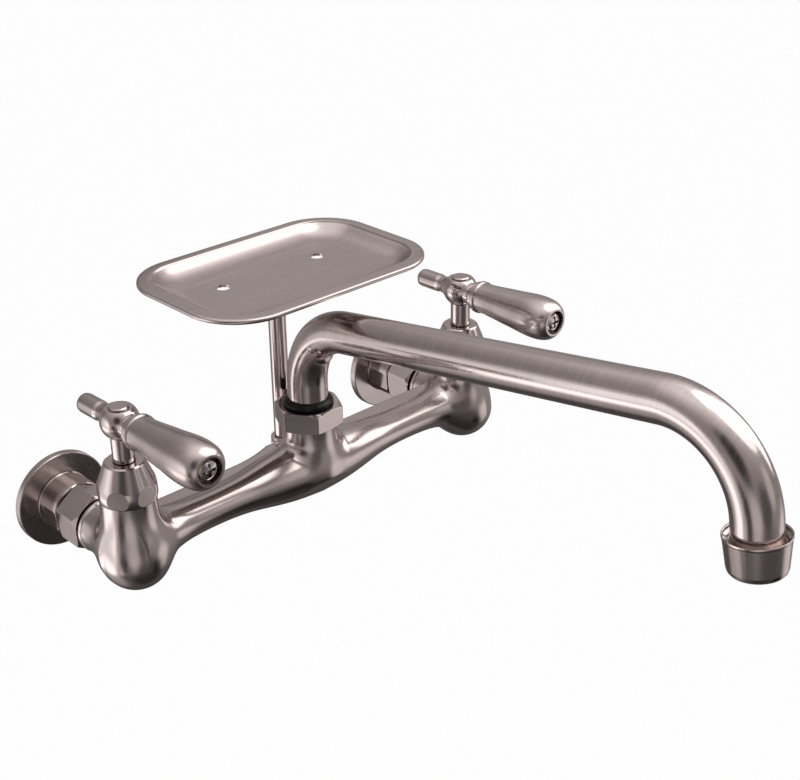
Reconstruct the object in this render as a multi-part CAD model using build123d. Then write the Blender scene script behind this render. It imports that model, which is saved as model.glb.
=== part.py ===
from build123d import *
from math import cos, radians, sin, tan
import os

# Wall-mounted kitchen faucet: two lever handles, a swivel spout and a soap tray on a post.
#
# Millimetres. +Z is up, +X is to the right for a person facing the wall, and the wall is the
# plane y = 0 with the faucet on its -Y side. The origin is on the wall, midway between the two
# inlets. The spout and both levers are modelled pointing straight out from the wall.

# ---------------------------------------------------------------- overall layout
INLET_CENTRES = 203.2           # 8 in between the two supplies
HALF = INLET_CENTRES / 2
VALVE_OUT = 59.8                # wall to the line of the valves and the spout
VALVE_Y = -VALVE_OUT
SIDES = (("left", -1), ("right", 1))

THREAD_GAP = 0.05               # radial gap drawn in every thread and slip joint
RUNNING_GAP = 0.06              # radial gap of a turning shaft
FACE_GAP = 0.03                 # gap between flat faces that rub
SOCKET_GAP = 0.08               # radial gap of the spout's spigot in its socket
BALL_CUT_BELOW = 9.0            # how far below its centre the hub ball's blank may reach

# ---------------------------------------------------------------- body casting
TOWER_TOP = 24.8                # joint between the body casting and the bonnet
TOWER_TOP_R = 12.4
TOWER_BELLY_R = 15.6
TOWER_BELLY_Z = -3.7
TOWER_BELLY_FORWARD = 1.4       # the round bottom sits a little in front of the valve's axis
ARM_Z = 1.0                     # height of the arms' axis
ARM_R = 8.2
BOSS_TOP = 24.2                 # underside of the spout nut
BOSS_R = 12.6
BOSS_NECK_R = 11.55             # threaded neck inside the nut
BOSS_NECK_TOP = 27.6
BELLY_R = 14.2                  # of the arms' outline below the boss
NECK_START = 37.4               # inlet neck, from the wall
NECK_R = 12.3

CAVITY_R = 9.2                  # bore that holds the ceramic cartridge
CAVITY_THREAD_R = 10.7          # larger bore for the bonnet's thread
CAVITY_THREAD_Z = 15.0
SEAT_R = 4.6                    # hole in the valve seat, at z = 0
SEAT_WELL_Z = -12.5             # bottom of the hole below the seat
WATER_WAY_R = 4.0               # from the inlet to the seat
ARM_WAY_R = 4.5                 # from the valves to the spout
TAIL_SOCKET_R = 7.45            # where the tailpiece is soldered in
TAIL_SOCKET_END = 46.0
SOCKET_R = 10.0                 # bore in the boss for the spigot
SOCKET_FLOOR = 10.0
MIXING_R = 8.0                  # chamber under the spigot
MIXING_FLOOR = -6.0

WEB_TOP, WEB_BOTTOM = 7.5, 2.0
WEB_BACK_Y = -44.4
POST_Y = -39.3
POST_R = 4.15
POST_FOOT = -1.0
POST_SOCKET_R = 5.9
POST_SOCKET_TOP = 9.4
POST_SOCKET_BOTTOM = -6.0
SET_SCREW_R = 1.6
SET_SCREW_Z = 5.6
HEX_KEY = 1.5

# ---------------------------------------------------------------- inlet unions, from the wall
FLANGE_R = 23.0
FLANGE_T = 3.5
FLANGE_HOLE_R = 11.2
INLET_THREAD_R = 9.3            # 1/2 in female pipe thread, at its inner diameter
INLET_THREAD_DEPTH = 14.0
UNION_BORE_R = 6.5
NUT_FLATS = 25.0                # across flats of the adapter and the coupling nut
NUT_TURN = 36.0                 # degrees that their corners are turned
ADAPTER_SLEEVE_R = 11.0
ADAPTER_R = 13.4                # round body with two wrench flats
ADAPTER_LIP = 1.0               # rim left round below the flats, against the flange
ADAPTER_END = 17.4
UNION_THREAD_R = 10.0
UNION_FACE = 24.0               # end of the adapter, where the union washer sits
UNION_WASHER_T = 1.6
TAIL_FLANGE_R = 9.4
TAIL_FLANGE_T = 3.0
TAIL_R = 7.4
TAIL_BORE_R = 5.2
NUT_START = 18.2
NUT_END = 33.2
NUT_FLOOR = 28.6                # inner face that pulls on the tailpiece
BEAD_R = 12.8                   # shoulder ring of the tailpiece, against the body
BEAD_START = 33.9

# ---------------------------------------------------------------- valves, above the seat
SEAL_TOP = 2.6
DISC_R = 6.3
DISC_JOINT = 5.8                # plane where the two ceramic discs meet
DISC_TOP = 9.1
DISC_ROOM_R = 6.6
CARTRIDGE_SKIRT_R = 8.3
CARTRIDGE_R = 9.1
CARTRIDGE_NECK_R = 7.8
CARTRIDGE_TOP = 33.0
CARTRIDGE_LIP_R = 10.5          # lip clamped between the body's step and the bonnet
CARTRIDGE_LIP_TOP = 18.5
ORING_GROOVE_R = 7.9
ORING_GROOVE = (12.2, 14.4)
GLAND_R = 4.9                   # groove round the stem
GLAND = (22.0, 24.2)
STEM_R = 3.2
STEM_FOOT_R = 5.2
STEM_FOOT = (9.2, 12.0)
STEM_TOP = 62.0
LUG_OUT = 4.3                   # the stem's two lugs, from its axis
LUG_Z = 8.7
BONNET_BASE_R = 12.4
BONNET_FOOT_R = 13.3            # widest part of the rounded foot
BONNET_CREASE_R = 12.9          # where the foot meets the cone
BONNET_CREASE = 7.6             # height of that crease above the joint
BONNET_TOP = 42.8
BONNET_TOP_R = 8.8
BONNET_FLATS = 24.8
BONNET_TURN = 7.0
BONNET_FOOT = 0.3               # lowest point of the wrench flats above the joint
BONNET_STEM_HOLE_R = 4.0

# ---------------------------------------------------------------- handles
LEVER_Z = 61.2                  # height of the levers' axis at the stem
LEVER_RISE = 1.3                # degrees that a lever points above level
LEVER_REACH = 63.0              # stem axis to the grip's end face
HUB_BALL_R = 8.6
HUB_BALL_Z = 61.7
HUB_SKIRT_R = 4.85
HUB_CROWN_TOP = 67.8
BUTTON_TOP = 68.8
BUTTON_R = 4.4
BUTTON_PLUG_R = 3.5
BUTTON_PLUG_BOTTOM = 66.5
HANDLE_SCREW_SEAT = 64.2
HANDLE_SCREW_R = 1.5
HANDLE_SCREW_TIP = 54.0
STUB_REACH = 27.8
STUB_R = 4.55
SPINDLE_R = 3.6
SPINDLE_END = 52.0
GRIP_START = 13.5
GRIP_LIP_END = 16.3
GRIP_RECESS_R = 5.8
GRIP_RECESS_DEPTH = 3.2
LEVER_SCREW_R = 2.0

# ---------------------------------------------------------------- spout
SPOUT_R = 9.525                 # 3/4 in tube
SPOUT_WALL = 1.1
SPOUT_RISE = 9.5                # degrees of the long run above level
SPOUT_BEND_R = 33.4             # bend above the boss
SPOUT_DROP_R = 37.6             # bend above the outlet
SPOUT_RUN = 174.1               # straight run between the bends
SPOUT_BEND_START = 45.4
SPOUT_END_TILT = 7.0            # degrees that the outlet leans out from vertical
SPOUT_FOOT = 26.0               # where the tube stands in its spigot
SPOUT_CLEAR = 0.3               # round the tube in the nut
SPOUT_NUT_FLATS = 28.6          # 1 1/8 in
SPOUT_NUT_TURN = 5.7
SPOUT_NUT_TOP = 34.1
SPOUT_NUT_BORE_R = 11.6
SPOUT_NUT_CEILING = 31.2
COLLAR_TOP = 30.4               # top of the spigot's collar
COLLAR_R = 11.2
SPIGOT_BOTTOM = 11.0
SPIGOT_BORE_R = 7.2
SPOUT_ORING_Z = (14.0, 19.5)
SPOUT_ORING_H = 2.2
SPOUT_ORING_R = 8.4
GASKET_TOP = 37.6

AERATOR_R = 12.6
AERATOR_MOUTH_R = 11.1
AERATOR_H = 14.8
AERATOR_RIM_DROP = 4.2          # straight tube between the last bend and the housing's rim
TUBE_IN_AERATOR = 8.0
OUTLET_THREAD_R = 10.5
OUTLET_FITTING = (4.4, 9.0)     # its span below the housing's rim
AERATOR_STEP = 10.6             # washer below the fitting, then the core
CORE_BOTTOM = 14.4
CORE_CUP_R = 7.4
MESH_SPACING = 2.3

# ---------------------------------------------------------------- soap tray
TRAY_RIM_Z = 99.6
TRAY_X, TRAY_Y = 127.0, 85.4
TRAY_CORNER_R = 26.5
TRAY_SMALLEST_CORNER_R = 4.0
TRAY_CENTRE_Y = -46.0
TRAY_RIM_W = 6.8
TRAY_LIP = 2.3                  # depth of the turned-down edge
TRAY_DEPTH = 6.2
TRAY_WALL_RUN = 8.0             # how far the sloped wall runs inward
TRAY_SHEET = 1.2
TRAY_FLOOR_Z = TRAY_RIM_Z - TRAY_DEPTH
TRAY_UNDERSIDE = TRAY_FLOOR_Z - TRAY_SHEET
DRAIN_X, DRAIN_Y, DRAIN_R = 27.7, -36.9, 3.3
POST_PAD_R = 8.5
POST_PAD_T = 1.0


# ---------------------------------------------------------------- helpers
def turned(*points):
    """Solid of revolution about Z from an outline of (radius, height) points."""
    outline = Polyline(*[(r, 0, h) for r, h in points], close=True)
    return revolve(make_face(outline), Axis.Z, 360)


def rounded_turned(start, through, *closing):
    """Solid of revolution whose outline is a spline through points, closed by straight lines."""
    curve = Spline(*[(r, 0, h) for r, h in (start, *through)])
    end = through[-1]
    lines = Polyline(*[(r, 0, h) for r, h in (end, *closing, start)])
    return revolve(make_face([curve, lines]), Axis.Z, 360)


def ring(outer, inner, low, high):
    return turned((inner, low), (outer, low), (outer, high), (inner, high))


def rod(radius, low, high):
    upright = Cylinder(radius, high - low, align=(Align.CENTER, Align.CENTER, Align.MIN))
    return Pos(0, 0, low) * upright


def corner_radius(flats):
    return flats / 2 / cos(radians(30))


def hexagon(flats, low, high, turn=0.0):
    shape = Rot(0, 0, turn) * RegularPolygon(corner_radius(flats), 6)
    return Pos(0, 0, low) * extrude(shape, high - low)


def chamfered_hexagon(flats, low, high, low_cut, high_cut, turn=0.0):
    """Hex prism whose corners are turned off to the flats over a short height at each end."""
    corner = corner_radius(flats) + 0.1
    face = flats / 2 - 0.1
    blank = turned((0, low), (face, low), (corner, low + low_cut), (corner, high - high_cut),
                   (face, high), (0, high))
    return hexagon(flats, low, high, turn) & blank


def opposite(shape):
    """The same shape on the other side of the Z axis."""
    return Rot(0, 0, 180) * shape


def at_valve(side, shape):
    """From an axis at the origin to the upright axis of one valve."""
    return Pos(side * HALF, VALVE_Y, 0) * shape


def at_inlet(side, shape):
    """Local height becomes distance out from the wall, on one inlet's axis."""
    return Location((side * HALF, 0, 0), (90, 0, 0)) * shape


def at_lever(side, shape):
    """Local height becomes distance from the stem along one lever."""
    return Location((side * HALF, VALVE_Y, LEVER_Z), (90 - LEVER_RISE, 0, 0)) * shape


def at_boss(shape):
    return Pos(0, VALVE_Y, 0) * shape


def at_post(shape):
    return Pos(0, POST_Y, 0) * shape


# ---------------------------------------------------------------- spout path
BEND_TURN = 90 - SPOUT_RISE
DROP_TURN = 90 + SPOUT_RISE - SPOUT_END_TILT
BEND_TANGENT = SPOUT_BEND_R * tan(radians(BEND_TURN / 2))
DROP_TANGENT = SPOUT_DROP_R * tan(radians(DROP_TURN / 2))
RUN_DIR = Vector(0, -cos(radians(SPOUT_RISE)), sin(radians(SPOUT_RISE)))
END_DIR = Vector(0, -sin(radians(SPOUT_END_TILT)), -cos(radians(SPOUT_END_TILT)))
FIRST_CORNER = Vector(0, VALVE_Y, SPOUT_BEND_START + BEND_TANGENT)
LAST_CORNER = FIRST_CORNER + RUN_DIR * (BEND_TANGENT + SPOUT_RUN + DROP_TANGENT)
AERATOR_RIM = LAST_CORNER + END_DIR * (DROP_TANGENT + AERATOR_RIM_DROP)
SPOUT_END = AERATOR_RIM + END_DIR * TUBE_IN_AERATOR


def at_aerator(shape):
    """Local height becomes distance down from the aerator housing's rim."""
    return Location(tuple(AERATOR_RIM), (180 - SPOUT_END_TILT, 0, 0)) * shape


def spout_tube():
    foot = Vector(0, VALVE_Y, SPOUT_FOOT)
    path = FilletPolyline(foot, FIRST_CORNER, LAST_CORNER, SPOUT_END,
                          radius=[SPOUT_BEND_R, SPOUT_DROP_R])
    section = Plane(foot, x_dir=(1, 0, 0), z_dir=(0, 0, 1))
    outside = sweep(section * Circle(SPOUT_R), path=path)
    return outside - sweep(section * Circle(SPOUT_R - SPOUT_WALL), path=path)


# ---------------------------------------------------------------- body casting
def tower():
    """Valve tower: nearly straight above, widening evenly into a round bottom."""
    outline = [(TOWER_TOP_R + 0.2, 18.0), (13.5, 10.0), (14.9, 3.0), (TOWER_BELLY_R - 0.2, TOWER_BELLY_Z),
               (12.0, -12.0)]
    upper = rounded_turned((TOWER_TOP_R, TOWER_TOP), outline, (0, -12.0), (0, TOWER_TOP))
    bottom = Pos(0, -TOWER_BELLY_FORWARD, TOWER_BELLY_Z) * Sphere(TOWER_BELLY_R)
    return upper + bottom


def arms():
    """Both arms and the belly under the boss, turned about the line of the valves."""
    outline = [(HALF - 6, 13.4), (HALF - 15, 11.2), (HALF - 22, 9.4), (HALF - 32, ARM_R + 0.1),
               (52, ARM_R), (40, 9.2), (26, 11.6), (14, 13.3), (0, BELLY_R)]
    mirrored = [(-x, r) for x, r in reversed(outline[:-1])]
    curve = Spline(*[(x, 0, r) for x, r in outline + mirrored])
    end_x, end_r = outline[0]
    closing = Polyline((-end_x, 0, end_r), (-end_x, 0, 0), (end_x, 0, 0), (end_x, 0, end_r))
    solid = revolve(make_face([curve, closing]), Axis.X, 360)
    return Pos(0, VALVE_Y, ARM_Z) * solid


def boss():
    """Upright spout boss: threaded neck above, a flare into the arms below."""
    flare_bottom = 5.0
    outline = [(BOSS_R + 0.1, 20.0), (BOSS_R + 0.9, 12.0), (BOSS_R + 1.5, flare_bottom)]
    flare = rounded_turned((BOSS_R, BOSS_TOP), outline, (0, flare_bottom), (0, BOSS_TOP))
    return at_boss(flare + rod(BOSS_NECK_R, BOSS_TOP - 1, BOSS_NECK_TOP))


def inlet_neck():
    """Neck from a tower back towards the wall, ending in a face for the tailpiece's bead."""
    end = VALVE_OUT - 5
    outline = [(NECK_R + 0.1, NECK_START + 4.0), (NECK_R + 0.6, NECK_START + 9.0), (NECK_R + 2.0, end)]
    return rounded_turned((NECK_R, NECK_START), outline, (0, end), (0, NECK_START))


def rear_web():
    """Flat web behind the arms that carries the post socket."""
    end_x = HALF - 8
    half_edge = [(end_x, WEB_BACK_Y), (44, WEB_BACK_Y), (22, WEB_BACK_Y + 1.4), (11, POST_Y)]
    other_half = [(-x, y) for x, y in reversed(half_edge)]
    front = VALVE_Y + 2
    shape = Polyline((end_x, front), *half_edge, *other_half, (-end_x, front), close=True)
    web = Pos(0, 0, WEB_BOTTOM) * extrude(make_face(shape), WEB_TOP - WEB_BOTTOM)
    return web + at_post(rod(POST_SOCKET_R, POST_SOCKET_BOTTOM, POST_SOCKET_TOP))


def water_way(side):
    """Slanting hole from the tailpiece down to the space under the seat."""
    start = Vector(side * HALF, 1.0 - TAIL_SOCKET_END, -1.5)
    run = Vector(side * HALF, VALVE_Y, -9.2) - start
    return Plane(start, x_dir=(1, 0, 0), z_dir=run) * rod(WATER_WAY_R, 0, run.length)


def set_screw_side(shape):
    """Local height becomes distance from the post's axis, towards the left."""
    return Pos(0, POST_Y, SET_SCREW_Z) * Rot(0, -90, 0) * shape


def body_hollows():
    """Everything bored out of the casting."""
    holes = []
    for _, side in SIDES:
        valve = rod(CAVITY_R, 0, TOWER_TOP) + rod(CAVITY_THREAD_R, CAVITY_THREAD_Z, TOWER_TOP)
        holes.append(at_valve(side, valve + rod(SEAT_R, SEAT_WELL_Z, 0)))
        holes.append(at_inlet(side, rod(TAIL_SOCKET_R, NECK_START - 1, TAIL_SOCKET_END)))
        holes.append(water_way(side))
    arm_way_half = HALF - CAVITY_R
    arm_way = Rot(0, 90, 0) * rod(ARM_WAY_R, -arm_way_half, arm_way_half)
    holes.append(Pos(0, VALVE_Y, ARM_Z) * arm_way)
    holes.append(at_boss(rod(SOCKET_R, SOCKET_FLOOR, BOSS_NECK_TOP + 1)))
    holes.append(at_boss(rod(MIXING_R, MIXING_FLOOR, SOCKET_FLOOR)))
    holes.append(at_post(rod(POST_R + THREAD_GAP, POST_FOOT, POST_SOCKET_TOP)))
    holes.append(set_screw_side(rod(SET_SCREW_R + THREAD_GAP, 2.0, POST_SOCKET_R + 2)))
    return holes


def faucet_body():
    solid = arms() + boss() + rear_web()
    for _, side in SIDES:
        solid += at_valve(side, tower())
        solid += at_inlet(side, inlet_neck())
    for hole in body_hollows():
        solid -= hole
    return solid


# ---------------------------------------------------------------- inlet union, one side
def wall_flange():
    """Flat escutcheon with a broken edge and a relieved back."""
    edge = 0.4
    plate = turned((FLANGE_HOLE_R, 0), (FLANGE_R, 0), (FLANGE_R, FLANGE_T - edge),
                   (FLANGE_R - edge, FLANGE_T), (FLANGE_HOLE_R, FLANGE_T))
    return plate - ring(FLANGE_R - 3.0, FLANGE_HOLE_R + 1.8, -1, 1.2)


def inlet_adapter():
    """Female pipe thread at the wall, round body with two wrench flats, male thread for the nut."""
    sleeve = rod(ADAPTER_SLEEVE_R, 0, FLANGE_T + 2)
    flats_start = FLANGE_T + ADAPTER_LIP
    round_body = turned((0, FLANGE_T), (ADAPTER_R + 0.4, FLANGE_T), (ADAPTER_R + 0.4, flats_start - 0.3),
                        (ADAPTER_R, flats_start), (ADAPTER_R, ADAPTER_END - 0.6),
                        (ADAPTER_R - 0.6, ADAPTER_END), (0, ADAPTER_END))
    for turn in (0, 180):
        beside = Pos(NUT_FLATS / 2 + 5, 0, flats_start + 10) * Box(10, 40, 20)
        round_body -= Rot(0, 0, NUT_TURN - 30 + turn) * beside
    male = rod(UNION_THREAD_R, ADAPTER_END - 1, UNION_FACE)
    bore = rod(INLET_THREAD_R, -1, INLET_THREAD_DEPTH)
    bore += rod(UNION_BORE_R, INLET_THREAD_DEPTH - 1, UNION_FACE + 1)
    return sleeve + round_body + male - bore


def union_washer():
    return ring(TAIL_FLANGE_R, UNION_BORE_R, UNION_FACE, UNION_FACE + UNION_WASHER_T)


def tailpiece():
    """Union tail: flange in the nut, tube, round bead against the body, soldered end."""
    start = UNION_FACE + UNION_WASHER_T
    flange = rod(TAIL_FLANGE_R, start, start + TAIL_FLANGE_T)
    tube = rod(TAIL_R, start, TAIL_SOCKET_END - 0.4)
    middle = (BEAD_START + NECK_START) / 2
    bead = rounded_turned((BEAD_R - 1.4, BEAD_START), [(BEAD_R, middle), (BEAD_R - 0.6, NECK_START)],
                          (0, NECK_START), (0, BEAD_START))
    return flange + tube + bead - rod(TAIL_BORE_R, start - 1, TAIL_SOCKET_END)


def coupling_nut():
    nut = chamfered_hexagon(NUT_FLATS, NUT_START, NUT_END, 0.9, 1.5, NUT_TURN)
    thread = rod(UNION_THREAD_R + THREAD_GAP, NUT_START - 1, NUT_FLOOR)
    return nut - thread - rod(TAIL_R + THREAD_GAP, NUT_FLOOR - 1, NUT_END + 1)


# ---------------------------------------------------------------- valve, one side
def bonnet():
    """Cone on a rounded foot with six wrench flats, and a thread below."""
    crease = TOWER_TOP + BONNET_CREASE
    outline = [(BONNET_FOOT_R - 0.3, TOWER_TOP + 1.4), (BONNET_FOOT_R, TOWER_TOP + 3.6),
               (BONNET_CREASE_R, crease)]
    foot = rounded_turned((BONNET_BASE_R, TOWER_TOP), outline, (0, crease), (0, TOWER_TOP))
    cone = turned((0, crease - 1), (BONNET_CREASE_R - 0.6, crease - 1), (BONNET_CREASE_R, crease),
                  (BONNET_TOP_R + 0.2, BONNET_TOP - 0.6), (BONNET_TOP_R - 0.5, BONNET_TOP), (0, BONNET_TOP))
    flats_low, flats_high = TOWER_TOP + BONNET_FOOT, crease + 4.0
    wrench = hexagon(BONNET_FLATS, flats_low - 1, flats_high + 1, BONNET_TURN)
    shell = foot + cone
    shell -= rod(2 * BONNET_BASE_R, flats_low, flats_high) - wrench
    skirt = rod(CAVITY_THREAD_R - THREAD_GAP, CARTRIDGE_LIP_TOP, TOWER_TOP + 1)
    inside = rod(CAVITY_R, CARTRIDGE_LIP_TOP - 1, TOWER_TOP - 1)
    inside += rod(CARTRIDGE_NECK_R + 0.2, TOWER_TOP - 2, CARTRIDGE_TOP + 5)
    return shell + skirt - inside - rod(BONNET_STEM_HOLE_R, CARTRIDGE_TOP, BONNET_TOP + 1)


def cartridge_body():
    """Brass cartridge: windowed skirt over the discs, O-ring groove, clamped lip and neck."""
    shoulder = ORING_GROOVE[0] - 0.8
    solid = turned((0, SEAL_TOP), (CARTRIDGE_SKIRT_R, SEAL_TOP), (CARTRIDGE_SKIRT_R, shoulder),
                   (CARTRIDGE_R, shoulder), (CARTRIDGE_R, CAVITY_THREAD_Z),
                   (CARTRIDGE_LIP_R, CAVITY_THREAD_Z), (CARTRIDGE_LIP_R, CARTRIDGE_LIP_TOP),
                   (CARTRIDGE_NECK_R, CARTRIDGE_LIP_TOP), (CARTRIDGE_NECK_R, CARTRIDGE_TOP),
                   (0, CARTRIDGE_TOP))
    solid -= ring(CARTRIDGE_R + 1, ORING_GROOVE_R, *ORING_GROOVE)
    solid -= ring(GLAND_R, STEM_R, *GLAND)
    solid -= rod(DISC_ROOM_R, SEAL_TOP - 1, DISC_TOP + 0.3)
    solid -= rod(STEM_FOOT_R + 0.4, DISC_TOP, STEM_FOOT[1] + 0.4)
    solid -= rod(STEM_R + RUNNING_GAP, DISC_TOP, CARTRIDGE_TOP + 1)
    window = Pos(0, 0, DISC_JOINT) * Box(20, 5.0, 2.6)
    return solid - window - Rot(0, 0, 90) * window


def valve_stem():
    """Stem that turns the moving disc; its foot drives two lugs, its top enters the hub."""
    foot = rod(STEM_FOOT_R, *STEM_FOOT)
    shaft = rod(STEM_R, STEM_FOOT[1] - 1, STEM_TOP)
    lug = Pos(LUG_OUT, 0, LUG_Z) * Box(1.4, 3.0, 1.4)
    return foot + shaft + lug + opposite(lug) - rod(HANDLE_SCREW_R, HANDLE_SCREW_TIP - 2, STEM_TOP + 1)


def moving_disc():
    port = Pos(0, 2.9, DISC_JOINT + 1.0) * Box(5.0, 2.4, 2.4)
    slot = Pos(LUG_OUT, 0, LUG_Z) * Box(1.6, 3.2, 1.5)
    return rod(DISC_R, DISC_JOINT, DISC_TOP) - port - opposite(port) - slot - opposite(slot)


def fixed_disc():
    port = Pos(3.2, 0, (SEAL_TOP + DISC_JOINT) / 2) * Box(2.0, 4.6, 5.0)
    return rod(DISC_R, SEAL_TOP, DISC_JOINT - FACE_GAP) - port - opposite(port)


def seat_seal():
    return ring(DISC_R, SEAT_R, 0, SEAL_TOP)


def cartridge_oring():
    low, high = ORING_GROOVE
    return ring(CAVITY_R - 0.02, ORING_GROOVE_R, low + 0.1, high - 0.1)


def stem_oring():
    return ring(GLAND_R, STEM_R + RUNNING_GAP, *GLAND)


# ---------------------------------------------------------------- handle, one side
def handle_hub(side):
    """Ball on the stem with a skirt below, a stub arm behind and a collar and spindle in front."""
    blank = rod(HUB_BALL_R + 1, HUB_BALL_Z - BALL_CUT_BELOW, HUB_CROWN_TOP)
    ball = Pos(0, 0, HUB_BALL_Z) * Sphere(HUB_BALL_R) & blank
    skirt = rod(HUB_SKIRT_R, BONNET_TOP + 0.35, LEVER_Z - 4)
    upright = at_valve(side, ball + skirt)
    stub = turned((0, -STUB_REACH), (3.2, -STUB_REACH), (STUB_R - 0.2, 1.3 - STUB_REACH),
                  (STUB_R, 2.7 - STUB_REACH), (STUB_R, -14.6), (4.1, -12.6), (4.3, -10.0), (5.6, -7.0),
                  (5.6, 0), (0, 0))
    collar_end = GRIP_START - 0.2
    collar = turned((0, 0), (5.4, 0), (5.4, 8.2), (5.2, 9.2), (6.6, 10.6), (7.2, 11.6), (7.2, collar_end),
                    (SPINDLE_R, collar_end), (SPINDLE_R, SPINDLE_END), (0, SPINDLE_END))
    solid = upright + at_lever(side, stub) + at_lever(side, collar)
    stem_bore = rod(STEM_R + THREAD_GAP, BONNET_TOP, STEM_TOP + THREAD_GAP)
    screw_bore = rod(HANDLE_SCREW_R + 0.1, STEM_TOP - 2, BUTTON_TOP)
    head_bore = rod(BUTTON_PLUG_R + 0.1, HANDLE_SCREW_SEAT, BUTTON_TOP)
    solid -= at_valve(side, stem_bore + screw_bore + head_bore)
    return solid - at_lever(side, rod(LEVER_SCREW_R, SPINDLE_END - 16, SPINDLE_END + 1))


def handle_screw():
    head_top = HANDLE_SCREW_SEAT + 2.2
    head = rod(3.2, HANDLE_SCREW_SEAT, head_top)
    shank = rod(HANDLE_SCREW_R - THREAD_GAP, HANDLE_SCREW_TIP, HANDLE_SCREW_SEAT + 1)
    return head + shank - Pos(0, 0, head_top) * Box(4.6, 0.9, 1.4)


def index_button():
    edge_z = BUTTON_TOP - 0.5
    plug = rod(BUTTON_PLUG_R, BUTTON_PLUG_BOTTOM, edge_z)
    cap = turned((0, HUB_CROWN_TOP), (BUTTON_R, HUB_CROWN_TOP), (BUTTON_R, edge_z),
                 (BUTTON_R - 0.5, BUTTON_TOP), (0, BUTTON_TOP))
    return plug + cap


def lever_grip():
    """Pear-shaped hollow grip with a lip at the collar and a recess for its screw."""
    bore_r = SPINDLE_R + THREAD_GAP
    lip = turned((bore_r, GRIP_START), (7.6, GRIP_START), (8.1, GRIP_START + 0.6), (8.1, GRIP_LIP_END - 0.8),
                 (7.6, GRIP_LIP_END), (bore_r, GRIP_LIP_END))
    outline = [(7.7, 21.0), (8.55, 30.0), (9.6, 41.0), (10.45, 50.0), (10.35, 55.5), (9.3, 60.0),
               (6.7, LEVER_REACH)]
    start = GRIP_LIP_END - 0.8
    shell = rounded_turned((7.5, start), outline, (0, LEVER_REACH), (0, start))
    shell -= rod(bore_r, GRIP_START, SPINDLE_END + 0.1)
    shell -= rod(LEVER_SCREW_R + 0.5, SPINDLE_END - 1, LEVER_REACH)
    return shell + lip - rod(GRIP_RECESS_R, LEVER_REACH - GRIP_RECESS_DEPTH, LEVER_REACH + 1)


def lever_screw():
    """Cross-recess screw that draws the grip against the collar."""
    seat = LEVER_REACH - GRIP_RECESS_DEPTH
    head = turned((0, seat), (4.5, seat), (4.5, seat + 1.3), (3.9, seat + 2.2), (2.3, seat + 2.8),
                  (0, seat + 3.0))
    recess = Pos(0, 0, seat + 2.6) * (Box(6.0, 1.2, 2.4) + Box(1.2, 6.0, 2.4))
    shank = rod(LEVER_SCREW_R - THREAD_GAP, SPINDLE_END - 14, seat + 0.5)
    return head + shank - recess


# ---------------------------------------------------------------- spout pieces
def spout_nut():
    nut = chamfered_hexagon(SPOUT_NUT_FLATS, BOSS_TOP, SPOUT_NUT_TOP, 0.8, 1.2, SPOUT_NUT_TURN)
    bore = rod(SPOUT_NUT_BORE_R, BOSS_TOP - 1, SPOUT_NUT_CEILING)
    return nut - bore - rod(SPOUT_R + SPOUT_CLEAR, SPOUT_NUT_CEILING - 1, SPOUT_NUT_TOP + 1)


def spout_spigot():
    """Turned sleeve on the tube's foot: collar under the nut, two O-ring grooves below."""
    outer_r = SOCKET_R - SOCKET_GAP
    collar_bottom = BOSS_NECK_TOP + FACE_GAP
    solid = rod(outer_r, SPIGOT_BOTTOM, collar_bottom) + rod(COLLAR_R, collar_bottom, COLLAR_TOP)
    solid -= rod(SPIGOT_BORE_R, SPIGOT_BOTTOM - 1, COLLAR_TOP + 1)
    solid -= rod(SPOUT_R + THREAD_GAP, SPOUT_FOOT, COLLAR_TOP + 1)
    for z in SPOUT_ORING_Z:
        solid -= ring(outer_r + 1, SPOUT_ORING_R, z, z + SPOUT_ORING_H)
    return solid


def spout_orings():
    outer_r = SOCKET_R - RUNNING_GAP
    return [ring(outer_r, SPOUT_ORING_R, z, z + SPOUT_ORING_H) for z in SPOUT_ORING_Z]


def spout_friction_washer():
    return ring(SPOUT_NUT_BORE_R - 0.3, SPOUT_R + SPOUT_CLEAR, COLLAR_TOP + FACE_GAP, SPOUT_NUT_CEILING)


def spout_gasket():
    """Soft ring that closes the gap between the nut and the tube."""
    inner = SPOUT_R + SOCKET_GAP
    return turned((inner, SPOUT_NUT_TOP), (11.3, SPOUT_NUT_TOP), (11.8, SPOUT_NUT_TOP + 0.8),
                  (11.6, SPOUT_NUT_TOP + 2.0), (10.6, GASKET_TOP - 0.3), (10.0, GASKET_TOP),
                  (inner, GASKET_TOP))


def outlet_fitting():
    """Male fitting soldered on the tube's end, inside the housing."""
    return ring(OUTLET_THREAD_R, SPOUT_R + THREAD_GAP, *OUTLET_FITTING)


def aerator_housing():
    """Tapered housing: thin rim round a dished top, threaded throat, open mouth."""
    low_edge = AERATOR_H - 0.9
    outer = turned((0, 0.4), (AERATOR_R - 0.4, 0.4), (AERATOR_R - 0.3, 0), (AERATOR_R, 0), (AERATOR_R, 0.8),
                   (AERATOR_R - 0.25, 1.3), (AERATOR_MOUTH_R + 0.1, AERATOR_H - 2.2),
                   (AERATOR_MOUTH_R - 0.3, low_edge), (AERATOR_MOUTH_R - 1.1, AERATOR_H), (0, AERATOR_H))
    tube_hole_r = SPOUT_R + SPOUT_CLEAR
    dish = turned((0, -1), (AERATOR_R - 0.6, -1), (AERATOR_R - 0.6, 1.4), (tube_hole_r + 0.6, 3.2),
                  (tube_hole_r, 3.4), (0, 3.4))
    throat = rod(tube_hole_r, 3.0, OUTLET_FITTING[0])
    throat += rod(OUTLET_THREAD_R + THREAD_GAP, OUTLET_FITTING[0] - 0.1, 13.0)
    return outer - dish - throat - rod(9.0, 12.0, AERATOR_H + 1)


def aerator_washer():
    return ring(OUTLET_THREAD_R - 0.1, 7.6, OUTLET_FITTING[1], AERATOR_STEP)


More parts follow.
